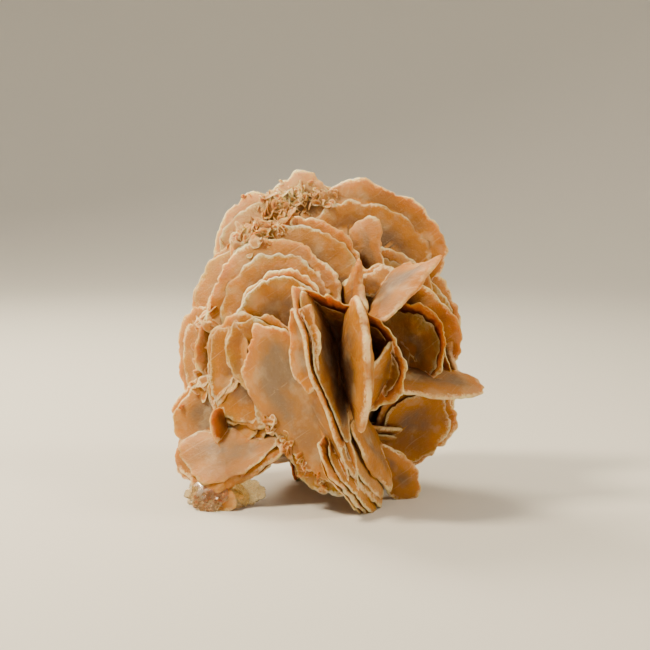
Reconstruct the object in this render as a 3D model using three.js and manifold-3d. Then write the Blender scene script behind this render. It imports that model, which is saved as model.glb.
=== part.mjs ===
// A gypsum sand rose: lens-shaped crystal blades that grew through one another into a single stone.
// Millimetres, +Z up. The stone rests on z = 0, and the origin is under the middle of its box.
import * as THREE from "three";
import { mergeVertices } from "three/addons/utils/BufferGeometryUtils.js";
import Module from "manifold-3d";

// Driving dimensions.
const STONE_SCALE = 1; // one on the size written in the tables below
const WORN_FOOT = 2.8; // how much of the lowest rims is worn flat where the stone rests
const STEEPER_FROM = 0.6; // where a blade's faces turn steeper towards its rim, as a share of its radius
const SHOULDER = 0.72; // the thickness there, as a share of the middle's
const LARGE = 24; // blades whose rim reaches past this radius get extra sides
const LARGE_SIDES = 11;
const SMALL = 15; // blades whose rim stays within this radius taper evenly from middle to rim
const UNEVEN = 0.03; // how far a rim wanders from its even outline, as a share of its radius
const SMALLEST_STEP = 1; // slivers thinner than this, left where blades cross, are merged away

const SAND_GYPSUM = { color: 0xc98f58, roughness: 0.5, metalness: 0 };

// Outlines, as points [across, up] in the blade's own plane.
const rays = (...radii) =>
  radii.map((radius, i) => {
    const angle = (i * 2 * Math.PI) / radii.length;
    return [radius * Math.cos(angle), radius * Math.sin(angle)];
  });
const oval = (halfWidth, halfHeight) =>
  rays(1, 1, 1, 1, 1, 1, 1, 1).map(([x, y]) => [x * halfWidth, y * halfHeight]);
const leaf = (halfWidth, halfHeight) =>
  rays(1, 0.82, 1, 0.82, 1, 0.82, 1, 0.82).map(([x, y]) => [x * halfWidth, y * halfHeight]);

// Each blade: centre [x, y, z]; facing [azimuth, elevation], the way its flat side looks, in degrees
// (azimuth 0 is the front, -Y, and 90 is +X); outline; thickness of its middle; bow, how far its rim
// cups that way.
const CROWN = [
  ["crown_plate", [8, 18, 86], [6, 14], rays(38.5, 39, 36.5, 32, 30, 30, 26, 28), 8, 2],
  ["crown_apron", [20, 8, 71], [14, 12], rays(22, 25, 26, 22, 20, 20, 20, 22), 5, 1],
  ["crown_fin", [16, 7, 97], [-22, 12],
    [[7, -12], [6, 0], [4, 8], [-1, 12], [-6, 9], [-8, 0], [-6, -12]], 4, 0],
  ["peak_plate", [-9, 21, 104], [-6, 16], rays(12, 15, 21.5, 19, 18, 16, 16, 14), 6, 1],
  ["shoulder_plate", [-24, 19, 96], [-24, 14], rays(18, 18, 21, 22, 22, 18, 18, 18), 5, 2],
];

const PETALS = [
  ["petal_back", [-10, 4, 79], [-16, 18], rays(27, 27, 30, 34, 30, 26, 24, 24), 6, 3],
  ["petal_second", [-16, -3, 71], [-20, 18], rays(22, 27, 28.5, 32, 32, 28, 24, 22), 6, 3],
  ["petal_third", [-14, -11, 65], [-28, 12], rays(18, 21, 24.5, 23.5, 23, 27, 24, 20), 5, 7],
  ["petal_side", [-23, -11, 54], [-34, 2], rays(22, 20, 20, 22, 26.5, 29.5, 24, 22), 5, 4],
  ["petal_front", [-8, -30, 47], [-30, -2],
    [[10, 0], [4, 14], [-5, 21], [-20, 24], [-25, 15], [-26, 2], [-23, -6], [-14, -16], [9, -35], [18, -31],
      [14, -16]], 6, 1],
  ["petal_front_lamina", [-6, -26, 47], [-30, -2],
    [[8, 5], [-16, 12], [-24, -5], [-23.5, -16], [-15, -20], [-10, -27], [3, -37], [11, -38], [19, -38],
      [18, -18]], 5, 0],
  ["petal_leaf", [-8, -39, 66], [-40, 0],
    [[7, 5], [3, 13], [-5, 13], [-6.5, 4], [-6.5, -4], [-5, -11], [-1, -15], [4, -18], [7, -8]], 4, 1],
];

const HEART = [
  ["left_wall", [1, -20, 60], [74, 16],
    [[14, 0], [6, 15], [-8, 25], [-20, 27], [-26, 20], [-28, 8], [-28, -6], [-26.5, -20], [-24, -33],
      [-14, -32], [4, -22]], 6, 0],
  ["arch", [9, -15, 61], [-6, -10],
    [[22, -3], [17, 9], [9, 17], [0, 22.5], [-8, 24], [-17, 26], [-16, 4], [-10, -18], [5, -22],
      [20, -13]], 5, 14],
  ["keel", [10, -30, 58], [103, 0],
    [[18, 0], [14, 14], [0, 24], [-10, 23], [-17, 13], [-20, 2], [-19, -10], [-14, -23], [-4, -18],
      [10, -12]], 10, 0],
  ["arch_spur", [11, -13, 80], [-50, 6], [[7, -5], [3, 4], [-1, 13], [-6, 4], [-10, -8], [2, -14]], 5, 0],
  ["spear", [25, -14, 82], [-65, 44],
    [[13, 18], [5, 16], [-8, 12], [-14, 0], [-10, -12], [2, -16], [10.5, -14], [12, -2]], 6, 0],
  ["cross_leaf", [20, -7, 83], [6, 28], leaf(15, 9), 5, 0],
];

const RIGHT_SIDE = [
  ["right_petal", [33, 4, 58], [-22, 2], rays(17, 18, 19, 16, 14, 15, 16, 16), 4, 9],
  ["right_petal_middle", [32, 10, 61], [-10, 0], rays(20.5, 20, 23, 20, 16, 16, 20, 22), 5, 3],
  ["right_petal_back", [29, 19, 62], [0, 5], rays(24, 27, 26, 20, 16, 18, 22, 23), 6, 1],
  ["ledge", [37, -5, 47], [28, 73],
    [[20, -4], [17, 7], [6, 15], [-6, 17], [-18, 14], [-24, 4], [-17, -8], [-4, -14], [8, -16],
      [19.5, -15]], 5, 0],
  ["lower_petal", [33, 2, 32], [16, -16], rays(17, 18, 14, 15, 16, 18, 22, 18), 5, 3],
  ["lower_petal_back", [31, 10, 35], [10, -8], rays(20, 20, 20, 18, 18, 20, 23, 20), 6, 1],
  ["side_blade", [20, -26, 52], [55, -20], leaf(12, 14), 4, 0],
];

const FOOT = [
  ["foot_lobe", [27, -12, 14.5], [12, -8],
    [[7, 0], [2, 4.5], [-6, 9], [-12, 8], [-11, -1], [-6, -7], [-3, -11], [3, -15], [9, -11]], 5, 0],
  ["foot_blade_left", [9.5, -29, 14.6], [65, 22],
    [[12, -4], [10, 12], [-4, 20], [-18, 16], [-19, 6], [-12, -4], [-4, -12], [4, -17]], 5, 0],
  ["foot_blade_middle", [14, -24, 16.5], [68, 20],
    [[12, -4], [8, 16], [-8, 20], [-18, 10], [-13, -2], [-4, -12], [4, -17]], 4, 0],
  ["foot_blade_right", [18, -20, 20], [70, 20],
    [[9, -8], [10, 6], [2, 18], [-14, 16], [-14, 6], [-6, -6], [3, -13]], 4, 0],
  ["base_plate", [-36, -16, 16], [-20, 48],
    [[20, 11], [17.5, 3.5], [12.5, -3.5], [6, -8.5], [-1, -13.7], [-9, -12.6], [-17, -8], [-24, 1], [-18, 12],
      [0, 16], [14, 17]], 7, 1],
  ["base_petal", [-41, 1, 32], [-32, 12], rays(24, 20, 16, 18, 21.5, 19.5, 17, 22), 6, 3],
  ["base_curl", [-40, -7, 29], [58, 10], oval(9, 7), 3, 0],
  ["base_lump", [-50, 2, 17], [-40, 10], oval(12, 13), 6, 0],
  ["base_chip", [-42, -24, 4.5], [-20, 30], oval(9, 6), 4, 0],
  ["side_petal", [-42, 7, 54], [-50, 8], rays(22, 20, 20, 23, 24.5, 24, 20, 20), 5, 3],
  ["upper_side_petal", [-37, 13, 78], [-40, 22], rays(18, 17, 18, 18.5, 19, 20, 18, 17), 5, 2],
];

const BACK = [
  ["back_great", [6, 34, 68], [172, 12], rays(33, 34, 37, 35, 31, 30, 33, 32), 8, 2],
  ["back_second", [-16, 32, 80], [204, 22], oval(25, 26), 6, 3],
  ["back_third", [24, 32, 50], [146, -4], oval(22, 25), 6, 3],
  ["back_low", [-8, 36, 36], [188, -14], oval(28, 24), 6, 2],
  ["back_left", [-34, 20, 58], [236, 6], oval(23, 28), 6, 3],
  ["back_right", [40, 18, 50], [112, 4], oval(18, 26), 6, 3],
  ["back_right_top", [26, 34, 86], [154, 20], oval(18, 20), 5, 2],
  ["back_top", [-4, 29, 104], [192, 22], oval(21, 16), 5, 1],
  ["back_fin", [6, 41, 62], [84, 12], leaf(12, 26), 7, 0],
  ["under_plate", [2, 6, 20], [20, -66], oval(32, 26), 7, 0],
  ["back_foot", [-10, 28, 13], [76, 6], oval(15, 14), 6, 0],
  ["back_foot_right", [22, 20, 13.5], [118, -12], oval(14, 15), 6, 0],
];

// Young crystals that sprouted late on the shoulder: centre and facing of each small lens.
const SPROUT = { halfWidth: 4, halfHeight: 4.4, thickness: 2.4 };
const SPROUTS = [
  [[-31, 17, 104], [20, 30]],
  [[-24, 16, 105], [-70, 20]],
  [[-28, 18, 109], [40, 10]],
  [[-14, 18, 115], [-30, 30]],
  [[-5, 20, 118], [-60, 10]],
  [[0, 19, 116], [-80, 0]],
];

// Where the blades meet the stone is solid: centre and half size of the round bodies that fill it.
const MIDDLES = [
  { at: [2, 18, 58], size: [37, 19, 43] },
  { at: [-8, 4, 38], size: [28, 20, 22] },
  { at: [17, 13, 43], size: [22, 15, 20] },
];

const wasm = await Module();
wasm.setup();

// Where a blade stands: across, up and facing as the columns of its frame.
function bladeFrame(at, facing) {
  const [azimuth, elevation] = facing.map(THREE.MathUtils.degToRad);
  const across = new THREE.Vector3(Math.cos(azimuth), Math.sin(azimuth), 0);
  const normal = new THREE.Vector3().setFromSphericalCoords(1, Math.PI / 2 - elevation, 0);
  normal.set(Math.sin(azimuth) * normal.z, -Math.cos(azimuth) * normal.z, normal.y);
  const up = normal.clone().cross(across);
  return new THREE.Matrix4().makeBasis(across, up, normal).setPosition(...at);
}

// One blade: a lens turned on a lathe, drawn out to its outline, cupped, and set in its place.
function bladeSolid([, at, facing, outline, thickness, bow], seed) {
  const rim = new THREE.CatmullRomCurve3(outline.map(([x, y]) => new THREE.Vector3(x, y, 0)), true);
  const size = Math.max(...outline.map(([x, y]) => Math.hypot(x, y)));
  const sides = size > LARGE ? Math.max(LARGE_SIDES, outline.length) : outline.length;
  const half = thickness / 2;
  const face = size > SMALL ? [[STEEPER_FROM, half * SHOULDER], [0, half]] : [[0, half]];
  const profile = [...face.map(([x, y]) => [x, -y]).reverse(), [1, 0], ...face];
  const geometry = new THREE.LatheGeometry(profile.map(([x, y]) => new THREE.Vector2(x, y)), sides);
  const place = geometry.getAttribute("position");
  for (let i = 0; i < place.count; i++) {
    const share = Math.hypot(place.getX(i), place.getZ(i));
    const turn = Math.round((i - (i % profile.length)) / profile.length) % sides;
    const edge = rim.getPoint(turn / sides);
    const angle = Math.atan2(edge.y, edge.x);
    const wander = Math.sin(3 * angle + 2.4 * seed) + 0.7 * Math.sin(5 * angle + 4.1 * seed);
    edge.multiplyScalar(1 + UNEVEN * wander);
    place.setXYZ(i, edge.x * share, edge.y * share, place.getY(i) + bow * share * share);
  }
  return solidOf(geometry.applyMatrix4(bladeFrame(at, facing)));
}

// A closed solid from a geometry, whichever way round its faces run.
function solidOf(geometry) {
  const bare = new THREE.BufferGeometry().setAttribute("position", geometry.getAttribute("position"));
  bare.setIndex(geometry.index);
  const merged = mergeVertices(bare, 1e-3);
  const place = merged.getAttribute("position");
  const index = merged.index.array;
  const triVerts = [];
  const [a, b, c] = [new THREE.Vector3(), new THREE.Vector3(), new THREE.Vector3()];
  let volume = 0;
  for (let i = 0; i < index.length; i += 3) {
    const [p, q, r] = [index[i], index[i + 1], index[i + 2]];
    if (p === q || q === r || r === p) continue;
    triVerts.push(p, q, r);
    volume += a.fromBufferAttribute(place, p).dot(
      b.fromBufferAttribute(place, q).cross(c.fromBufferAttribute(place, r)));
  }
  if (volume < 0) triVerts.reverse();
  const faces = new Uint32Array(triVerts);
  return new wasm.Manifold(new wasm.Mesh({ numProp: 3, vertProperties: place.array, triVerts: faces }));
}

function geometryOf(solid) {
  const mesh = solid.getMesh();
  const geometry = new THREE.BufferGeometry();
  geometry.setAttribute("position", new THREE.BufferAttribute(mesh.vertProperties.slice(), 3));
  geometry.setIndex(new THREE.BufferAttribute(mesh.triVerts.slice(), 1));
  geometry.computeVertexNormals();
  return geometry;
}

const middles = MIDDLES.map(({ at, size }) =>
  solidOf(new THREE.IcosahedronGeometry(1, 2).scale(...size).translate(...at)));
const sproutOutline = oval(SPROUT.halfWidth, SPROUT.halfHeight);
const sprouts = SPROUTS.map(([at, facing], i) =>
  [`sprout_${i}`, at, facing, sproutOutline, SPROUT.thickness, 0]);
const blades = [...CROWN, ...PETALS, ...HEART, ...RIGHT_SIDE, ...FOOT, ...BACK, ...sprouts].map(bladeSolid);
const grown = wasm.Manifold.union([...middles, ...blades]).scale(STONE_SCALE).simplify(SMALLEST_STEP);

// The lowest rims are worn flat on the resting plane, and the stone is set over the origin.
const box = grown.boundingBox();
const middle = [(box.min[0] + box.max[0]) / 2, (box.min[1] + box.max[1]) / 2];
const worn = grown.translate(-middle[0], -middle[1], -box.min[2] - WORN_FOOT);
const side = 4 * (box.max[2] - box.min[2]);
const below = solidOf(new THREE.BoxGeometry(side, side, side).translate(0, 0, -side / 2));

// Pockets sealed inside are filled: the stone is the largest body of what is left.
const stone = worn.subtract(below).decompose().sort((p, q) => q.volume() - p.volume())[0];

const rose = new THREE.Mesh(geometryOf(stone), new THREE.MeshStandardMaterial(SAND_GYPSUM));
rose.name = "sand_rose";
const group = new THREE.Group();
group.add(rose);
export default group;
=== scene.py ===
"""A gypsum sand rose, finished around its fixed frame.

The stone is lens-shaped gypsum blades grown through one another. The tables below hold each blade in
millimetres; everything made from them is in metres, +Z up.
"""

import math
import random

import bmesh
import bpy
from mathutils import Matrix, Vector, geometry, noise
from mathutils.bvhtree import BVHTree


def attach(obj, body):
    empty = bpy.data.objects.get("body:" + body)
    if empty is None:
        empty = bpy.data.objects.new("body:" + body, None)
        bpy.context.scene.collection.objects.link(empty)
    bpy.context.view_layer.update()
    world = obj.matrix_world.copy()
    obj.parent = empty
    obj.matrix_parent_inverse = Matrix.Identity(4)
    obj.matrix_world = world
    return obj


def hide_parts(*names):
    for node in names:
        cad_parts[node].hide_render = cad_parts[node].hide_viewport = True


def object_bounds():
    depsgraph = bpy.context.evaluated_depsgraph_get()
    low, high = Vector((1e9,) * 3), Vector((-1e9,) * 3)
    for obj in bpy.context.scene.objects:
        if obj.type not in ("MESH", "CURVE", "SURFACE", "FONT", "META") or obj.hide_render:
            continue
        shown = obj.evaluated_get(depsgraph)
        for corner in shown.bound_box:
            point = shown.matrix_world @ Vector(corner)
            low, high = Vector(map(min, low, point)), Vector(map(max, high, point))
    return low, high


bl_info = {
    "name": "Sand rose",
    "version": (1, 0, 0),
    "blender": (4, 5, 0),
    "location": "View3D > Sidebar > Sand rose",
    "description": "Builds the blades, young crystals and clear flakes of a gypsum sand rose",
    "category": "Add Mesh",
}

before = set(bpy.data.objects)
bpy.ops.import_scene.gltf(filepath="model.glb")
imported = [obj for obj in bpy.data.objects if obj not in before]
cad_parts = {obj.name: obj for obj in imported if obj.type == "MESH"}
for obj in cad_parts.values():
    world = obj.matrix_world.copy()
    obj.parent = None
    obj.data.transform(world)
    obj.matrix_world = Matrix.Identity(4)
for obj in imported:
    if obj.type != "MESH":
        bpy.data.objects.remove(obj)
CAD_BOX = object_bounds()
BODY = "root"
NODE = "sand_rose"
MM = 0.001

# From the tables' own origin to the frame's: under the middle of the stone, with the lowest rims worn off.
TABLE_SHIFT = Vector((-0.01, -1.75, -1.06))
UNEVEN = 0.03  # how far a rim wanders from its even outline, as a share of its radius
BLUNT = 0.09  # half the thickness left at the rim, as a share of half the middle's
TERRACED = 15  # blades that reach past this radius step up in terraces
SINGLE = ("keel", "ledge", "spear", "petal_leaf")  # blades that stay one sheet all the same
SHARES = (0, 0.3, 0.52, 0.68, 0.79, 0.87, 0.92, 0.955, 0.98)  # rings of a lens between its middle and rim


def rays(*radii):
    """An outline from its radii at equal turns, counter-clockwise from straight across."""
    turns = [i * 2 * math.pi / len(radii) for i in range(len(radii))]
    return [(r * math.cos(a), r * math.sin(a)) for r, a in zip(radii, turns)]


def oval(half_width, half_height):
    """A rounded outline."""
    return [(x * half_width, y * half_height) for x, y in rays(*[1] * 8)]


def leaf(half_width, half_height):
    """An outline with four blunt points."""
    return [(x * half_width, y * half_height) for x, y in rays(*[1, 0.82] * 4)]


# Each blade: name; centre (x, y, z); facing (azimuth, elevation), the way its flat side looks, in degrees
# (azimuth 0 is the front, -Y, and 90 is +X); outline; thickness of its middle; bow, how far its rim cups
# that way.
CROWN = (
    ("crown_plate", (8, 18, 86), (6, 14), rays(38.5, 39, 36.5, 32, 30, 30, 26, 28), 8, 2),
    ("crown_apron", (20, 8, 71), (14, 12), rays(22, 25, 26, 22, 20, 20, 20, 22), 5, 1),
    ("crown_fin", (16, 7, 97), (-22, 12),
     [(7, -12), (6, 0), (4, 8), (-1, 12), (-6, 9), (-8, 0), (-6, -12)], 4, 0),
    ("peak_plate", (-9, 21, 104), (-6, 16), rays(12, 15, 21.5, 19, 18, 16, 16, 14), 6, 1),
    ("shoulder_plate", (-24, 19, 96), (-24, 14), rays(18, 18, 21, 22, 22, 18, 18, 18), 5, 2),
)

PETALS = (
    ("petal_back", (-10, 4, 79), (-16, 18), rays(27, 27, 30, 34, 30, 26, 24, 24), 6, 3),
    ("petal_second", (-16, -3, 71), (-20, 18), rays(22, 27, 28.5, 32, 32, 28, 24, 22), 6, 3),
    ("petal_third", (-14, -11, 65), (-28, 12), rays(18, 21, 24.5, 23.5, 23, 27, 24, 20), 5, 7),
    ("petal_side", (-23, -11, 54), (-34, 2), rays(22, 20, 20, 22, 26.5, 29.5, 24, 22), 5, 4),
    ("petal_front", (-8, -30, 47), (-30, -2),
     [(10, 0), (4, 14), (-5, 21), (-20, 24), (-25, 15), (-26, 2), (-23, -6), (-14, -16), (9, -35),
      (18, -31), (14, -16)], 6, 1),
    ("petal_front_lamina", (-6, -26, 47), (-30, -2),
     [(8, 5), (-16, 12), (-24, -5), (-23.5, -16), (-15, -20), (-10, -27), (3, -37), (11, -38),
      (19, -38), (18, -18)], 5, 0),
    ("petal_leaf", (-8, -39, 66), (-40, 0),
     [(7, 5), (3, 13), (-5, 13), (-6.5, 4), (-6.5, -4), (-5, -11), (-1, -15), (4, -18), (7, -8)], 4, 1),
)

HEART = (
    ("left_wall", (1, -20, 60), (74, 16),
     [(14, 0), (6, 15), (-8, 25), (-20, 27), (-26, 20), (-28, 8), (-28, -6), (-26.5, -20),
      (-24, -33), (-14, -32), (4, -22)], 6, 0),
    ("arch", (9, -15, 61), (-6, -10),
     [(22, -3), (17, 9), (9, 17), (0, 22.5), (-8, 24), (-17, 26), (-16, 4), (-10, -18), (5, -22),
      (20, -13)], 5, 14),
    ("keel", (10, -30, 58), (103, 0),
     [(18, 0), (14, 14), (0, 24), (-10, 23), (-17, 13), (-20, 2), (-19, -10), (-14, -23),
      (-4, -18), (10, -12)], 10, 0),
    ("arch_spur", (11, -13, 80), (-50, 6), [(7, -5), (3, 4), (-1, 13), (-6, 4), (-10, -8), (2, -14)], 5, 0),
    ("spear", (25, -14, 82), (-65, 44),
     [(13, 18), (5, 16), (-8, 12), (-14, 0), (-10, -12), (2, -16), (10.5, -14), (12, -2)], 6, 0),
    ("cross_leaf", (20, -7, 83), (6, 28), leaf(15, 9), 5, 0),
)

RIGHT_SIDE = (
    ("right_petal", (33, 4, 58), (-22, 2), rays(17, 18, 19, 16, 14, 15, 16, 16), 4, 9),
    ("right_petal_middle", (32, 10, 61), (-10, 0), rays(20.5, 20, 23, 20, 16, 16, 20, 22), 5, 3),
    ("right_petal_back", (29, 19, 62), (0, 5), rays(24, 27, 26, 20, 16, 18, 22, 23), 6, 1),
    ("ledge", (37, -5, 47), (28, 73),
     [(20, -4), (17, 7), (6, 15), (-6, 17), (-18, 14), (-24, 4), (-17, -8), (-4, -14), (8, -16),
      (19.5, -15)], 5, 0),
    ("lower_petal", (33, 2, 32), (16, -16), rays(17, 18, 14, 15, 16, 18, 22, 18), 5, 3),
    ("lower_petal_back", (31, 10, 35), (10, -8), rays(20, 20, 20, 18, 18, 20, 23, 20), 6, 1),
    ("side_blade", (20, -26, 52), (55, -20), leaf(12, 14), 4, 0),
)

FOOT = (
    ("foot_lobe", (27, -12, 14.5), (12, -8),
     [(7, 0), (2, 4.5), (-6, 9), (-12, 8), (-11, -1), (-6, -7), (-3, -11), (3, -15), (9, -11)], 5, 0),
    ("foot_blade_left", (9.5, -29, 14.6), (65, 22),
     [(12, -4), (10, 12), (-4, 20), (-18, 16), (-19, 6), (-12, -4), (-4, -12), (4, -17)], 5, 0),
    ("foot_blade_middle", (14, -24, 16.5), (68, 20),
     [(12, -4), (8, 16), (-8, 20), (-18, 10), (-13, -2), (-4, -12), (4, -17)], 4, 0),
    ("foot_blade_right", (18, -20, 20), (70, 20),
     [(9, -8), (10, 6), (2, 18), (-14, 16), (-14, 6), (-6, -6), (3, -13)], 4, 0),
    ("base_plate", (-36, -16, 16), (-20, 48),
     [(20, 11), (17.5, 3.5), (12.5, -3.5), (6, -8.5), (-1, -13.7), (-9, -12.6), (-17, -8),
      (-24, 1), (-18, 12), (0, 16), (14, 17)], 7, 1),
    ("base_petal", (-41, 1, 32), (-32, 12), rays(24, 20, 16, 18, 21.5, 19.5, 17, 22), 6, 3),
    ("base_curl", (-40, -7, 29), (58, 10), oval(9, 7), 3, 0),
    ("base_lump", (-50, 2, 17), (-40, 10), oval(12, 13), 6, 0),
    ("base_chip", (-42, -24, 4.5), (-20, 30), oval(9, 6), 4, 0),
    ("side_petal", (-42, 7, 54), (-50, 8), rays(22, 20, 20, 23, 24.5, 24, 20, 20), 5, 3),
    ("upper_side_petal", (-37, 13, 78), (-40, 22), rays(18, 17, 18, 18.5, 19, 20, 18, 17), 5, 2),
)

BACK = (
    ("back_great", (6, 34, 68), (172, 12), rays(33, 34, 37, 35, 31, 30, 33, 32), 8, 2),
    ("back_second", (-16, 32, 80), (204, 22), oval(25, 26), 6, 3),
    ("back_third", (24, 32, 50), (146, -4), oval(22, 25), 6, 3),
    ("back_low", (-8, 36, 36), (188, -14), oval(28, 24), 6, 2),
    ("back_left", (-34, 20, 58), (236, 6), oval(23, 28), 6, 3),
    ("back_right", (40, 18, 50), (112, 4), oval(18, 26), 6, 3),
    ("back_right_top", (26, 34, 86), (154, 20), oval(18, 20), 5, 2),
    ("back_top", (-4, 29, 104), (192, 22), oval(21, 16), 5, 1),
    ("back_fin", (6, 41, 62), (84, 12), leaf(12, 26), 7, 0),
    ("under_plate", (2, 6, 20), (20, -66), oval(32, 26), 7, 0),
    ("back_foot", (-10, 28, 13), (76, 6), oval(15, 14), 6, 0),
    ("back_foot_right", (22, 20, 13.5), (118, -12), oval(14, 15), 6, 0),
)
BLADES = CROWN + PETALS + HEART + RIGHT_SIDE + FOOT + BACK
# Where the blades meet the stone is solid: centre and half size of the round bodies that fill it.
MIDDLES = (
    ((2, 18, 58), (37, 19, 43)),
    ((-8, 4, 38), (28, 20, 22)),
    ((17, 13, 43), (22, 15, 20)),
)

# Swarms of young crystals: centre, half spread, the way they are looked for on the stone (azimuth,
# elevation), how many, and the smallest and largest radius.
DRUSE = (
    ((-12, 16, 115), (15, 6, 5), (0, 10), 170, (0.9, 1.8)),
    ((-28, 12, 102), (9, 6, 6), (-10, 15), 150, (0.8, 1.7)),
    ((-20, 14, 108), (9, 6, 6), (-5, 12), 80, (0.8, 1.6)),
    ((-6, 30, 106), (14, 5, 6), (184, 30), 60, (1.0, 2.0)),
)
FLANK = (
    ((-47, 6, 66), (5, 8, 14), (-60, 5), 22, (1.6, 3.4)),
    ((-52, 6, 44), (5, 8, 12), (-60, 0), 16, (1.6, 3.2)),
    ((-34, 34, 60), (8, 8, 22), (225, 5), 24, (1.8, 3.6)),
    ((-21, -24, 33), (2, 3, 3), (-30, 0), 24, (1.1, 2.2)),
    ((-16, -28, 26), (2, 3, 4), (-30, 0), 28, (1.1, 2.2)),
    ((-10, -31, 19), (2, 3, 4), (-30, 0), 28, (1.1, 2.2)),
    ((-4, -35, 13), (2, 3, 3), (-30, 0), 24, (1.1, 2.0)),
)
# Clear flakes at the foot: centre, facing, outline, thickness, bow.
FLAKES = (
    ((-47, -22, 6), (-38, 52), leaf(9, 6), 1.2, 0),
    ((-44, -25, 6.5), (-14, 30), leaf(7, 8), 1.3, 0),
    ((-39, -25, 5.5), (16, 44), leaf(8, 5), 1.2, 0),
    ((-34, -22, 5), (34, 16), leaf(6, 6), 1.3, 0),
    ((-30, -16, 5), (-16, 30), leaf(7, 6), 1.2, 0),
    ((-50, -16, 7), (-66, 26), leaf(6, 8), 1.2, 0),
    ((-42, -21, 4.5), (64, 8), leaf(8, 5), 1.4, 0),
)


def linear(hex_colour):
    """A linear colour from its sRGB hex value."""
    shares = [int(hex_colour[i:i + 2], 16) / 255 for i in (1, 3, 5)]
    return [c / 12.92 if c <= 0.04045 else ((c + 0.055) / 1.055) ** 2.4 for c in shares]


# ---------------------------------------------------------------------------------------------- settings


class SandRoseStone(bpy.types.PropertyGroup):
    spacing: bpy.props.FloatProperty(
        name="Spacing", description="Distance between points along a rim", default=0.95 * MM,
        unit="LENGTH")
    scallop: bpy.props.FloatProperty(
        name="Scallop", description="Depth of the bays that break a rim's line", default=1.1 * MM,
        unit="LENGTH")
    chip: bpy.props.FloatProperty(
        name="Chip", description="Depth of the chips along a rim", default=1.3 * MM, unit="LENGTH")
    ruffle: bpy.props.FloatProperty(
        name="Ruffle", description="How far a blade waves out of its plane at the rim", default=2.2 * MM,
        unit="LENGTH")
    relief: bpy.props.FloatProperty(
        name="Relief", description="Height of the swells on a blade's faces", default=0.8 * MM,
        unit="LENGTH")
    faces: bpy.props.IntProperty(
        name="Faces", description="Most triangles in the stone's mesh", default=196000)
    honey: bpy.props.FloatVectorProperty(
        name="Honey", description="Body colour of the gypsum", subtype="COLOR", default=linear("#A26608"))
    mauve: bpy.props.FloatVectorProperty(
        name="Mauve", description="Cloudy colour where a blade is thick", subtype="COLOR",
        default=linear("#7C5E42"))
    # Painted glow: this colour stands in for light that comes through a thin blade.
    glow_amber: bpy.props.FloatVectorProperty(
        name="Amber", description="Colour where a blade is thin", subtype="COLOR",
        default=linear("#CC8004"))
    cream: bpy.props.FloatVectorProperty(
        name="Cream", description="Frosted colour of chipped rims", subtype="COLOR",
        default=linear("#FADEAC"))
    # Painted shade: this colour darkens the sheltered pockets.
    pocket_shade: bpy.props.FloatVectorProperty(
        name="Pocket", description="Stain of the deep pockets", subtype="COLOR",
        default=linear("#54290A"))


class SandRoseStage(bpy.types.PropertyGroup):
    focal: bpy.props.FloatProperty(
        name="Focal length", description="Lens of the camera, in millimetres", default=85)
    distance: bpy.props.FloatProperty(
        name="Distance", description="From the camera to the point that it looks at",
        default=591 * MM, unit="LENGTH")
    elevation: bpy.props.FloatProperty(
        name="Elevation", description="Height of the camera above the horizon",
        default=math.radians(8), subtype="ANGLE")
    floor: bpy.props.FloatVectorProperty(
        name="Floor", description="Colour of the floor", subtype="COLOR", default=linear("#DAD6CF"))


# ------------------------------------------------------------------------------------------------ blades


def blade_frame(at, facing):
    """Across, up and facing of a blade as the columns of its frame, in metres."""
    azimuth, elevation = (math.radians(a) for a in facing)
    across = Vector((math.cos(azimuth), math.sin(azimuth), 0))
    normal = Vector((math.sin(azimuth) * math.cos(elevation), -math.cos(azimuth) * math.cos(elevation),
                     math.sin(elevation)))
    turned = Matrix((across, normal.cross(across), normal)).transposed().to_4x4()
    return Matrix.Translation((Vector(at) + TABLE_SHIFT) * MM) @ turned


def smooth_rim(outline, spacing):
    """Even steps, counter-clockwise, along the smooth closed curve through an outline, in metres."""
    points = [Vector(p).to_3d() * MM for p in outline]
    count = len(points)
    if sum(p.cross(q).z for p, q in zip(points, points[1:] + points[:1])) < 0:
        points.reverse()
    line = []
    for i in range(count):
        a, b, c, d = (points[(i + k - 1) % count] for k in range(4))
        before, within, after = (math.sqrt((q - p).length) for p, q in ((a, b), (b, c), (c, d)))
        leave = ((b - a) / before - (c - a) / (before + within) + (c - b) / within) * within
        arrive = ((c - b) / within - (d - b) / (within + after) + (d - c) / after) * within
        line += geometry.interpolate_bezier(b, b + leave / 3, c - arrive / 3, c, 17)[:-1]
    lengths = [(q - p).length for p, q in zip(line, line[1:] + line[:1])]
    total = sum(lengths)
    steps = 8 * max(3, round(total / spacing / 8))
    rim, walked, i = [], 0, 0
    for k in range(steps):
        target = total * k / steps
        while walked + lengths[i] < target:
            walked += lengths[i]
            i += 1
        rim.append(line[i].lerp(line[(i + 1) % len(line)], (target - walked) / lengths[i]))
    return rim


UNIT_LENSES = {}  # the lens meshes made so far, by their steps round


def unit_lens(steps):
    """A lens one across its radius and half of one thick each way, spun from half its section."""
    if steps not in UNIT_LENSES:
        bm = bmesh.new()
        heights = [(s, BLUNT + (1 - BLUNT) * (1 - s * s) ** 0.75) for s in SHARES]
        section = [(s, -h) for s, h in heights] + [(1, 0)] + [(s, h) for s, h in reversed(heights)]
        verts = [bm.verts.new((s, 0, h)) for s, h in section]
        edges = [bm.edges.new(pair) for pair in zip(verts, verts[1:])]
        bmesh.ops.spin(
            bm, geom=verts + edges, cent=(0, 0, 0), axis=(0, 0, 1), angle=2 * math.pi, steps=steps,
            use_merge=True, use_duplicate=False)
        bmesh.ops.remove_doubles(bm, verts=bm.verts, dist=1e-6)
        bmesh.ops.recalc_face_normals(bm, faces=bm.faces)
        mesh = bpy.data.meshes.new(f"unit_lens_{steps}")
        bm.to_mesh(mesh)
        bm.free()
        UNIT_LENSES[steps] = mesh
    return UNIT_LENSES[steps]


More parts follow.
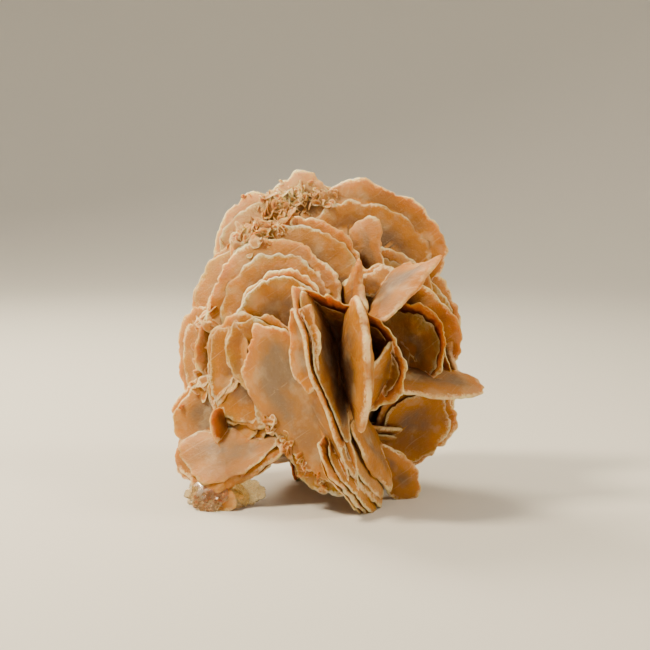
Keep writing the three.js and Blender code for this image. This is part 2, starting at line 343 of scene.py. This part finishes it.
def ripple(point, wavelength, seed):
    """Smooth noise from -1 to 1 at a point, for swells of that size."""
    return noise.noise(point / wavelength + Vector((seed * 7.3, seed * 3.1, seed * 5.7)))


def blade(stone, at, facing, outline, thickness, bow, seed, fine=1, sheet=None):
    """A bmesh of one blade, drawn out from a lens: crinkled at its rim, rolling as one sheet with the
    blades of the same sheet number."""
    sheet = seed if sheet is None else sheet
    rim = smooth_rim(outline, stone.spacing * fine)
    steps = len(rim)
    bm = bmesh.new()
    bm.from_mesh(unit_lens(steps))
    inset_layer = bm.verts.layers.float.new("inset")
    tint_layer = bm.verts.layers.float.new("tint")
    grain_layer = bm.verts.layers.float_vector.new("grain")
    tint = random.random()
    half = thickness * MM / 2
    place = blade_frame(at, facing)
    size = max(p.length for p in rim)
    sway = 0.015 * size
    ruffle = stone.ruffle * min(1, size / (25 * MM))
    edges = []
    for point in rim:
        angle = math.atan2(point.y, point.x)
        wander = math.sin(3 * angle + 2.4 * sheet) + 0.7 * math.sin(5 * angle + 4.1 * sheet)
        notch = max(0, ripple(point, 1.7 * MM, seed + 9) - 0.1)
        crinkle = (1.4 * stone.scallop * ripple(point, 10 * MM, seed + 8)
                   + 1.2 * stone.scallop * ripple(point, 5 * MM, seed)
                   + 0.8 * stone.scallop * ripple(point, 2.4 * MM, seed + 4) - stone.chip * notch)
        edges.append((point, point.length, UNEVEN * wander * point.length, crinkle, angle))
    for v in bm.verts:
        share = math.hypot(v.co.x, v.co.y)
        turn = round(math.atan2(v.co.y, v.co.x) / (2 * math.pi) * steps) % steps
        point, radius, wander, crinkle, angle = edges[turn]
        inset = (1 - share) * radius
        reach = share * (1 + wander / radius) + crinkle / radius * math.exp(-inset / (3.5 * MM)) * share
        flat = point * reach
        side = 1 if v.co.z > 0 else -1
        roll = ripple(flat, 12 * MM, sheet + 1) + 0.4 * ripple(flat, 5.5 * MM, sheet + 2)
        dimple = ripple(flat, 4.5 * MM, seed + 2 + side) + 0.5 * ripple(flat, 2.2 * MM, seed + 3 + side)
        rise = v.co.z * half + roll * stone.relief * min(1, inset / (3 * MM) + 0.3)
        rise += dimple * min(0.4 * stone.relief, 0.16 * half) * min(1, inset / (1.5 * MM))
        rise += (bow * MM + sway * math.sin(2 * angle + sheet)
                 + ruffle * ripple(point, 16 * MM, sheet + 6)) * share * share
        v[inset_layer] = inset / MM * max(1, 4 * MM / size)
        v[tint_layer] = tint
        v[grain_layer] = Vector((flat.x, flat.y, seed * 0.01))
        v.co = place @ Vector((flat.x, flat.y, rise))
    return bm


def as_object(name, bm):
    """An object at the origin that holds a bmesh, which is used up."""
    mesh = bpy.data.meshes.new(name)
    bm.to_mesh(mesh)
    bm.free()
    made = bpy.data.objects.new(name, mesh)
    bpy.context.scene.collection.objects.link(made)
    return made


def terraces(row):
    """The thinner blades that step up from a large one's faces: rows like the tables' own."""
    name, at, facing, outline, thickness, bow = row
    if name in SINGLE or max(math.hypot(*p) for p in outline) < TERRACED:
        return []
    across, up, normal = blade_frame((0, 0, 0), facing).to_3x3().col
    steps = []
    for side in (1, -1):
        scale = random.uniform(0.8, 0.94)
        aside, rise = random.uniform(-1.2, 1.2), random.uniform(-2, 0.4)
        if random.random() > 0.75:
            continue
        centre = Vector(at) + normal * side * 0.34 * thickness + across * aside + up * rise
        drawn = [(x * scale, y * scale) for x, y in outline]
        steps.append((name, tuple(centre), facing, drawn, thickness * 0.46, bow * scale * scale))
    return steps


def merged(name, solids):
    """A bmesh of the union of solids that overlap. The solids are used up."""
    hold = bpy.data.collections.new(name + "_parts")
    bpy.context.scene.collection.children.link(hold)
    first, *others = solids
    for part in others:
        for held in part.users_collection:
            held.objects.unlink(part)
        hold.objects.link(part)
    union = first.modifiers.new("grown_together", "BOOLEAN")
    union.operation, union.operand_type, union.solver = "UNION", "COLLECTION", "MANIFOLD"
    union.collection = hold
    graph = bpy.context.evaluated_depsgraph_get()
    bm = bmesh.new()
    bm.from_object(first, graph)
    for part in solids:
        bpy.data.objects.remove(part)
    bpy.data.collections.remove(hold)
    return bm


def keep_largest(bm):
    """Deletes every shell but the largest, such as crumbs and sealed pockets."""
    seen, shells = set(), []
    for start in bm.verts:
        if start in seen:
            continue
        shell, ahead = [], [start]
        seen.add(start)
        while ahead:
            v = ahead.pop()
            shell.append(v)
            for e in v.link_edges:
                other = e.other_vert(v)
                if other not in seen:
                    seen.add(other)
                    ahead.append(other)
        shells.append(shell)
    shells.sort(key=len)
    for shell in shells[:-1]:
        bmesh.ops.delete(bm, geom=shell, context="VERTS")


def cut_at_floor(bm):
    """Cuts off what reaches below the resting plane and closes the cut."""
    geom = bm.verts[:] + bm.edges[:] + bm.faces[:]
    cut = bmesh.ops.bisect_plane(bm, geom=geom, plane_co=(0, 0, 0), plane_no=(0, 0, -1), clear_outer=True)
    edges = [g for g in cut["geom_cut"] if isinstance(g, bmesh.types.BMEdge)]
    bmesh.ops.holes_fill(bm, edges=edges, sides=0)


def thin_out(made, most):
    """Collapses a mesh's flattest stretches until no more than that many triangles are left."""
    bpy.context.view_layer.objects.active = made
    made.data.calc_loop_triangles()
    count = len(made.data.loop_triangles)
    if count > most:
        fewer = made.modifiers.new("fewer", "DECIMATE")
        fewer.ratio = most / count
        with bpy.context.temp_override(object=made, active_object=made, selected_objects=[made]):
            bpy.ops.object.modifier_apply(modifier=fewer.name)


def sphere_directions(count):
    """Directions spread evenly over a sphere."""
    golden = math.pi * (3 - math.sqrt(5))
    found = []
    for i in range(count):
        z = 1 - (2 * i + 1) / count
        r = math.sqrt(1 - z * z)
        found.append(Vector((r * math.cos(golden * i), r * math.sin(golden * i), z)))
    return found


def measure(made, shade_weight=1):
    """Stores on the mesh how closed in each point is by the stone around it, times the given weight, for
    painted shade in the pockets, and how thin the stone is under it.
    """
    mesh = made.data
    bm = bmesh.new()
    bm.from_mesh(mesh)
    tree = BVHTree.FromBMesh(bm)
    bm.free()
    directions = sphere_directions(20)
    far, deep, skin = 34 * MM, 9 * MM, 0.05 * MM
    occlusion_shade, thickness = [], []
    for v in mesh.vertices:
        normal = v.normal
        hidden, weight, thinnest = 0, 0, deep
        for d in directions:
            facing = d.dot(normal)
            if facing > 0.15:
                hit = tree.ray_cast(v.co + normal * skin, d, far)
                weight += facing
                if hit[0] is not None:
                    hidden += facing * (1 - 0.5 * hit[3] / far)
            elif facing < -0.3:
                hit = tree.ray_cast(v.co - normal * skin, d, deep)
                if hit[0] is not None:
                    thinnest = min(thinnest, hit[3])
        occlusion_shade.append(shade_weight * hidden / weight if weight else 0)
        thickness.append(thinnest / MM)
    for name, values in (("occlusion_shade", occlusion_shade), ("thickness", thickness)):
        mesh.attributes.new(name, "FLOAT", "POINT").data.foreach_set("value", values)


# --------------------------------------------------------------------------------------------- materials


def add(tree, kind, inputs=None, **settings):
    """Adds a node: settings are its own values, inputs its sockets' values or the sockets linked there."""
    made = tree.nodes.new(kind)
    for key, value in settings.items():
        setattr(made, key, value)
    for key, value in (inputs or {}).items():
        if isinstance(value, bpy.types.NodeSocket):
            tree.links.new(value, made.inputs[key])
        else:
            made.inputs[key].default_value = value
    return made


def blank_material(name):
    """A material with an empty node tree, and the tree."""
    made = bpy.data.materials.new(name)
    made.use_nodes = True
    made.node_tree.nodes.clear()
    return made, made.node_tree


MIX = {"factor": 0, "a": 6, "b": 7, "out": 2}  # a colour Mix node's sockets


def sand_gypsum(stone, name, scatter):
    """Sand-grown gypsum: waxy and translucent, its rims frosted by chipping and its thick parts clouded with
    sand.
    Its pockets are darkened by painted shade, and its thin parts and rims are painted a warmer colour as a
    painted glow, so the middle stays dull. Light spreads by scatter, in millimetres."""
    made, tree = blank_material(name)
    place = add(tree, "ShaderNodeTexCoord").outputs["Object"]
    inset, tint, occlusion_shade, thickness = (
        add(tree, "ShaderNodeAttribute", attribute_name=layer).outputs["Fac"]
        for layer in ("inset", "tint", "occlusion_shade", "thickness"))
    grain = add(tree, "ShaderNodeAttribute", attribute_name="grain").outputs["Vector"]
    honey, mauve, glow_amber, cream, pocket_shade = (
        (*colour, 1) for colour in (stone.honey, stone.mauve, stone.glow_amber, stone.cream, stone.pocket_shade))
    smooth = {"interpolation_type": "SMOOTHSTEP"}
    times, plus = {"operation": "MULTIPLY"}, {"operation": "ADD"}
    colours = {"data_type": "RGBA"}
    factor, under, over, mixed = MIX["factor"], MIX["a"], MIX["b"], MIX["out"]

    cloudy = add(tree, "ShaderNodeTexNoise", {
        "Vector": place, "Scale": 1 / (14 * MM), "Detail": 4, "Roughness": 0.55}).outputs["Fac"]
    marble = add(tree, "ShaderNodeTexNoise", {
        "Vector": place, "Scale": 1 / (8 * MM), "Detail": 3, "Roughness": 0.5}).outputs["Fac"]
    mottle = add(tree, "ShaderNodeTexNoise", {
        "Vector": place, "Scale": 1 / (4 * MM), "Detail": 7, "Roughness": 0.68}).outputs["Fac"]
    lumps = add(tree, "ShaderNodeTexNoise", {
        "Vector": place, "Scale": 1 / (2.6 * MM), "Detail": 7, "Roughness": 0.65}).outputs["Fac"]
    ragged = add(tree, "ShaderNodeTexNoise", {
        "Vector": place, "Scale": 1 / (1.3 * MM), "Detail": 3, "Roughness": 0.65}).outputs["Fac"]
    sugar = add(tree, "ShaderNodeTexNoise", {
        "Vector": place, "Scale": 1 / (0.55 * MM), "Detail": 2, "Roughness": 0.7}).outputs["Fac"]

    # Sand clouds the thick middle of a blade.
    inward = add(tree, "ShaderNodeMapRange", {
        "Value": inset, "From Min": 3, "From Max": 12}, **smooth).outputs[0]
    banks = add(tree, "ShaderNodeMapRange", {
        "Value": cloudy, "From Min": 0.38, "From Max": 0.58, "To Min": 0.15}, **smooth).outputs[0]
    thick = add(tree, "ShaderNodeMath", {0: inward, 1: banks}, **times).outputs[0]
    body = add(tree, "ShaderNodeMix", {factor: thick, under: honey, over: mauve}, **colours).outputs[mixed]

    # Painted glow: where it is thin and near its rim, a warmer colour stands in for the light that comes
    # through.
    outward = add(tree, "ShaderNodeMapRange", {
        "Value": inset, "From Min": 11, "From Max": 2.5}, **smooth).outputs[0]
    near_rim = add(tree, "ShaderNodeMath", {0: outward, 1: 0.75}, **times).outputs[0]
    lean = add(tree, "ShaderNodeMapRange", {
        "Value": thickness, "From Min": 3.2, "From Max": 1}, **smooth).outputs[0]
    thin = add(tree, "ShaderNodeMath", {0: lean, 1: near_rim}, operation="MAXIMUM").outputs[0]
    patches = add(tree, "ShaderNodeMapRange", {
        "Value": mottle, "From Min": 0.3, "From Max": 0.65, "To Min": 0.3, "To Max": 0.95},
        **smooth).outputs[0]
    glow = add(tree, "ShaderNodeMath", {0: thin, 1: patches}, **times).outputs[0]
    body = add(tree, "ShaderNodeMix", {factor: glow, under: body, over: glow_amber}, **colours).outputs[mixed]

    # Sandy and clear growth marble it.
    sandy = add(tree, "ShaderNodeMapRange", {
        "Value": marble, "From Min": 0.48, "From Max": 0.66, "To Max": 0.34}, **smooth).outputs[0]
    body = add(tree, "ShaderNodeMix", {factor: sandy, under: body, over: mauve}, **colours).outputs[mixed]
    milky = add(tree, "ShaderNodeMapRange", {
        "Value": marble, "From Min": 0.5, "From Max": 0.3, "To Max": 0.2}, **smooth).outputs[0]
    body = add(tree, "ShaderNodeMix", {factor: milky, under: body, over: cream}, **colours).outputs[mixed]

    # Painted light: the top and the left flank are paler, towards the key light; some blades are also paler
    # than others at random.
    height = add(tree, "ShaderNodeVectorMath", {
        0: place, 1: (-0.5, 0, 0.86)}, operation="DOT_PRODUCT").outputs["Value"]
    high = add(tree, "ShaderNodeMapRange", {
        "Value": height, "From Min": 84 * MM, "From Max": 112 * MM, "To Max": 0.3}, **smooth).outputs[0]
    own = add(tree, "ShaderNodeMapRange", {
        "Value": tint, "From Min": 0.4, "From Max": 1, "To Max": 0.08}, **smooth).outputs[0]
    pale = add(tree, "ShaderNodeMath", {0: high, 1: own}, **plus).outputs[0]
    body = add(tree, "ShaderNodeMix", {factor: pale, under: body, over: cream}, **colours).outputs[mixed]
    flecks = add(tree, "ShaderNodeMapRange", {
        "Value": mottle, "From Min": 0.56, "From Max": 0.74, "To Max": 0.12}, **smooth).outputs[0]
    body = add(tree, "ShaderNodeMix", {factor: flecks, under: body, over: cream}, **colours).outputs[mixed]

    # Cleavage shows as fine slanting lines.
    drawn_out = add(tree, "ShaderNodeMapping", {
        "Vector": grain, "Rotation": (0, 0, math.radians(-54)), "Scale": (1, 25, 1)},
        vector_type="TEXTURE").outputs[0]
    lines = add(tree, "ShaderNodeTexNoise", {
        "Vector": drawn_out, "Scale": 1 / (0.9 * MM), "Detail": 2, "Roughness": 0.5}).outputs["Fac"]
    cleaved = add(tree, "ShaderNodeMapRange", {
        "Value": lines, "From Min": 0.62, "From Max": 0.76, "To Max": 0.18}, **smooth).outputs[0]
    body = add(tree, "ShaderNodeMix", {factor: cleaved, under: body, over: cream}, **colours).outputs[mixed]

    # Chipping frosts the rim, in a ragged band.
    centred = add(tree, "ShaderNodeMath", {0: ragged, 1: 0.5}, operation="SUBTRACT").outputs[0]
    straggle = add(tree, "ShaderNodeMath", {0: centred, 1: 4.5}, **times).outputs[0]
    edge = add(tree, "ShaderNodeMath", {0: inset, 1: straggle}, **plus).outputs[0]
    band = add(tree, "ShaderNodeMapRange", {
        "Value": edge, "From Min": 1.9, "From Max": 0.1}, **smooth).outputs[0]
    stretches = add(tree, "ShaderNodeMapRange", {
        "Value": cloudy, "From Min": 0.42, "From Max": 0.58, "To Min": 0.12}, **smooth).outputs[0]
    frosted = add(tree, "ShaderNodeMath", {0: band, 1: stretches}, **times).outputs[0]
    frost = add(tree, "ShaderNodeMath", {0: frosted, 1: 0.85}, **times).outputs[0]
    body = add(tree, "ShaderNodeMix", {factor: frost, under: body, over: cream}, **colours).outputs[mixed]

    # Painted shade darkens the sheltered pockets where the stone closes in, and sugary grains catch the light
    # over all.
    painted_pocket_shade = add(tree, "ShaderNodeMapRange", {
        "Value": occlusion_shade, "From Min": 0.36, "From Max": 0.82, "To Max": 0.82}, **smooth).outputs[0]
    body = add(tree, "ShaderNodeMix", {factor: painted_pocket_shade, under: body, over: pocket_shade}, **colours).outputs[mixed]
    grains = add(tree, "ShaderNodeMapRange", {
        "Value": sugar, "From Min": 0.62, "From Max": 0.74, "To Max": 0.12}, **smooth).outputs[0]
    body = add(tree, "ShaderNodeMix", {factor: grains, under: body, over: cream}, **colours).outputs[mixed]

    satin = add(tree, "ShaderNodeMapRange", {
        "Value": mottle, "From Min": 0.3, "From Max": 0.7, "To Min": 0.3, "To Max": 0.5}, **smooth).outputs[0]
    dulled = add(tree, "ShaderNodeMath", {0: frosted, 1: 0.15}, **times).outputs[0]
    rough = add(tree, "ShaderNodeMath", {0: satin, 1: dulled}, **plus).outputs[0]
    fine = add(tree, "ShaderNodeBump", {"Height": sugar, "Strength": 0.55, "Distance": 0.2 * MM})
    layers = add(tree, "ShaderNodeBump", {
        "Height": lines, "Strength": 0.3, "Distance": 0.2 * MM, "Normal": fine.outputs[0]})
    swells = add(tree, "ShaderNodeBump", {
        "Height": lumps, "Strength": 0.85, "Distance": 0.8 * MM, "Normal": layers.outputs[0]})
    surface = add(tree, "ShaderNodeBsdfPrincipled", {
        "Base Color": body, "Roughness": rough, "Normal": swells.outputs[0], "IOR": 1.52,
        "Specular IOR Level": 0.3, "Subsurface Weight": 0.8, "Subsurface Radius": (1.0, 0.6, 0.28),
        "Subsurface Scale": scatter * MM})
    add(tree, "ShaderNodeOutputMaterial", {"Surface": surface.outputs[0]})
    return made


def clear_gypsum():
    """Clear gypsum, cleaved in flakes: see-through with a yellow cast where it is thick."""
    made, tree = blank_material("gypsum_clear_cleaved")
    place = add(tree, "ShaderNodeTexCoord").outputs["Object"]
    haze = add(tree, "ShaderNodeTexNoise", {"Vector": place, "Scale": 1 / (1.6 * MM), "Detail": 4})
    bump = add(tree, "ShaderNodeBump", {
        "Height": haze.outputs["Fac"], "Strength": 0.3, "Distance": 0.2 * MM})
    rough = add(tree, "ShaderNodeMapRange", {
        "Value": haze.outputs["Fac"], "From Min": 0.35, "From Max": 0.65, "To Min": 0.08, "To Max": 0.4})
    surface = add(tree, "ShaderNodeBsdfPrincipled", {
        "Base Color": (*linear("#F6E0AC"), 1), "Roughness": rough.outputs[0], "IOR": 1.52,
        "Transmission Weight": 0.95, "Normal": bump.outputs[0]})
    absorb = add(tree, "ShaderNodeVolumeAbsorption", {"Color": (*linear("#E0B868"), 1), "Density": 60.0})
    add(tree, "ShaderNodeOutputMaterial", {"Surface": surface.outputs[0], "Volume": absorb.outputs[0]})
    return made


def plain_floor(colour):
    """Matt paper: evenly pale, with no shine."""
    made, tree = blank_material("paper_matt")
    surface = add(tree, "ShaderNodeBsdfPrincipled", {"Base Color": (*colour, 1), "Roughness": 0.75})
    add(tree, "ShaderNodeOutputMaterial", {"Surface": surface.outputs[0]})
    return made


def finish_piece(made, material):
    """Gives a piece its material and its place in the frame."""
    made.data.materials.clear()
    made.data.materials.append(material)
    made.data.shade_smooth()
    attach(made, BODY)


# --------------------------------------------------------------------------------------------- operators


class SANDROSE_OT_stone(bpy.types.Operator):
    """Grow the blades through one another into the stone"""

    bl_idname = "sandrose.stone"
    bl_label = "Stone"

    def execute(self, context):
        stone = context.scene.sand_rose_stone
        random.seed(7)
        solids = []
        for seed, row in enumerate(BLADES):
            name, at, facing, outline, thickness, bow = row
            solids.append(as_object(name, blade(stone, at, facing, outline, thickness, bow, seed)))
            for k, (_, at, facing, outline, thickness, bow) in enumerate(terraces(row)):
                bm = blade(stone, at, facing, outline, thickness, bow, seed + 100 * (k + 1), 1.15, seed)
                solids.append(as_object(name, bm))
        for at, size in MIDDLES:
            bm = bmesh.new()
            bmesh.ops.create_icosphere(bm, subdivisions=4, radius=1)
            bmesh.ops.scale(bm, vec=Vector(size) * MM, verts=bm.verts)
            bmesh.ops.translate(bm, vec=(Vector(at) + TABLE_SHIFT) * MM, verts=bm.verts)
            solids.append(as_object("middle", bm))
        bm = merged("stone", solids)
        cut_at_floor(bm)
        keep_largest(bm)
        made = as_object("sand_rose_blades", bm)
        thin_out(made, stone.faces)
        # How closed in each point is, for the painted shade in the pockets, and how thin, for the painted
        # glow.
        measure(made)
        finish_piece(made, sand_gypsum(stone, "gypsum_sand_grown", 5))
        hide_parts(NODE)
        return {"FINISHED"}


class SANDROSE_OT_young(bpy.types.Operator):
    """Seed the young crystals on the shoulder and flanks"""

    bl_idname = "sandrose.young"
    bl_label = "Young crystals"

    def execute(self, context):
        stone = context.scene.sand_rose_stone
        host = bpy.data.objects["sand_rose_blades"]
        tree = BVHTree.FromObject(host, context.evaluated_depsgraph_get())
        material = sand_gypsum(stone, "gypsum_young_crystals", 0.8)
        for name, swarms, fine in (("young_crystals", DRUSE, 0.55), ("flank_crystals", FLANK, 0.9)):
            random.seed(21)
            solids = []
            for row in swarms:
                solids += self.swarm(stone, tree, row, fine, len(solids))
            bm = merged(name, solids)
            made = as_object(name, bm)
            thin_out(made, stone.faces // 2)
            # Painted shade in their pockets, weaker than on the stone.
            measure(made, 0.6)
            finish_piece(made, material)
        return {"FINISHED"}

    def swarm(self, stone, tree, row, fine, start):
        """Small lenses stood on the stone's surface where it is met from one side."""
        centre, spread, look, count, (small, large) = row
        inward = -blade_frame((0, 0, 0), look).to_3x3().col[2]
        made = []
        for i in range(count):
            aim = [c + random.gauss(0, 0.5) * s for c, s in zip(centre, spread)]
            begin = (Vector(aim) + TABLE_SHIFT) * MM - inward * 40 * MM
            hit, normal, _, _ = tree.ray_cast(begin, inward, 80 * MM)
            radius = random.uniform(small, large)
            turn = (random.uniform(-90, 90) + look[0], random.uniform(-50, 60))
            wide = random.uniform(0.75, 1.15)
            if hit is None:
                continue
            at = hit / MM - TABLE_SHIFT + normal * radius * random.uniform(0.1, 0.45)
            outline = oval(radius, radius * wide)
            bm = blade(stone, at, turn, outline, radius * 0.3, 0, start + i, fine)
            made.append(as_object("young", bm))
        return made


class SANDROSE_OT_flakes(bpy.types.Operator):
    """Set the clear cleaved flakes at the foot"""

    bl_idname = "sandrose.flakes"
    bl_label = "Clear flakes"

    def execute(self, context):
        stone = context.scene.sand_rose_stone
        random.seed(5)
        solids = [as_object("flake", blade(stone, *row, 300 + i, 0.8)) for i, row in enumerate(FLAKES)]
        bm = merged("flakes", solids)
        cut_at_floor(bm)
        made = as_object("clear_flakes", bm)
        finish_piece(made, clear_gypsum())
        return {"FINISHED"}


class SANDROSE_OT_stage(bpy.types.Operator):
    """Lay the floor, set the lights and aim the camera"""

    bl_idname = "sandrose.stage"
    bl_label = "Stage"

    def execute(self, context):
        stage = context.scene.sand_rose_stage
        low, high = CAD_BOX
        middle = (low + high) / 2
        # The floor is a shallow paper bowl: flat, then swept up into its own backdrop on every side.
        flat, bend = 0.7, 0.6
        turns = [math.radians(a) for a in range(0, 76, 5)]
        swept = [(flat + bend * math.sin(t), bend - bend * math.cos(t)) for t in turns]
        section = [(0, 0), *swept, (1.5, 1.35)]
        bm = bmesh.new()
        verts = [bm.verts.new((x, 0, z)) for x, z in section]
        edges = [bm.edges.new(pair) for pair in zip(verts, verts[1:])]
        bmesh.ops.spin(
            bm, geom=verts + edges, cent=(0, 0, 0), axis=(0, 0, 1), angle=2 * math.pi, steps=96,
            use_merge=True, use_duplicate=False)
        bmesh.ops.remove_doubles(bm, verts=bm.verts, dist=1e-6)
        bmesh.ops.recalc_face_normals(bm, faces=bm.faces)
        floor = as_object("floor", bm)
        floor.data.shade_smooth()
        floor.data.materials.append(plain_floor(tuple(stage.floor)))

        aim = Vector((-0.8, 0, 65.7)) * MM
        back = Vector((0, -math.cos(stage.elevation), math.sin(stage.elevation)))
        camera = bpy.data.objects.new("camera", bpy.data.cameras.new("camera"))
        camera.data.lens, camera.data.sensor_width = stage.focal, 36
        camera.data.clip_start, camera.data.clip_end = 0.01, 20
        camera.location = aim + back * stage.distance
        camera.rotation_euler = (-back).to_track_quat("-Z", "Y").to_euler()
        context.scene.collection.objects.link(camera)
        context.scene.camera = camera

        for name, place, size, power, colour in (
                ("key", (-0.38, -0.1, 0.54), 0.12, 6, (1, 0.86, 0.62)),
                ("side", (0.46, -0.14, 0.5), 0.16, 2.2, (1, 0.86, 0.62)),
                ("back", (-0.3, 0.4, 0.5), 0.24, 6, (1, 0.88, 0.64)),
                ("ceiling", (0, 0, 2.4), 4, 26, (1, 0.95, 0.86))):
            light = bpy.data.objects.new(name, bpy.data.lights.new(name, "AREA"))
            light.data.size, light.data.energy, light.data.color = size, power, colour
            light.location = place
            light.rotation_euler = (middle - Vector(place)).to_track_quat("-Z", "Y").to_euler()
            context.scene.collection.objects.link(light)
        world = bpy.data.worlds.new("studio")
        world.use_nodes = True
        world.node_tree.nodes.clear()
        seen = add(world.node_tree, "ShaderNodeLightPath").outputs["Is Camera Ray"]
        strength = add(world.node_tree, "ShaderNodeMapRange", {"Value": seen, "To Min": 0.05, "To Max": 0.55})
        sky = add(world.node_tree, "ShaderNodeBackground", {
            "Color": (*linear("#D8D4CE"), 1), "Strength": strength.outputs[0]})
        add(world.node_tree, "ShaderNodeOutputWorld", {"Surface": sky.outputs[0]})
        context.scene.world = world
        return {"FINISHED"}


class SANDROSE_PT_panel(bpy.types.Panel):
    """Settings and steps of the sand rose"""

    bl_label = "Sand rose"
    bl_idname = "SANDROSE_PT_panel"
    bl_space_type = "VIEW_3D"
    bl_region_type = "UI"
    bl_category = "Sand rose"

    def draw(self, context):
        for group in (context.scene.sand_rose_stone, context.scene.sand_rose_stage):
            for key in group.bl_rna.properties.keys():
                if key not in ("rna_type", "name"):
                    self.layout.prop(group, key)
        for step in OPERATORS:
            self.layout.operator(step.bl_idname)


OPERATORS = (SANDROSE_OT_stage, SANDROSE_OT_stone, SANDROSE_OT_young, SANDROSE_OT_flakes)
CLASSES = (SandRoseStone, SandRoseStage, *OPERATORS, SANDROSE_PT_panel)


def register():
    for made in CLASSES:
        bpy.utils.register_class(made)
    bpy.types.Scene.sand_rose_stone = bpy.props.PointerProperty(type=SandRoseStone)
    bpy.types.Scene.sand_rose_stage = bpy.props.PointerProperty(type=SandRoseStage)


def unregister():
    del bpy.types.Scene.sand_rose_stage
    del bpy.types.Scene.sand_rose_stone
    for made in reversed(CLASSES):
        bpy.utils.unregister_class(made)


def main():
    register()
    bpy.ops.sandrose.stage()
    bpy.ops.sandrose.stone()
    bpy.ops.sandrose.young()
    bpy.ops.sandrose.flakes()


if __name__ == "__main__":
    main()
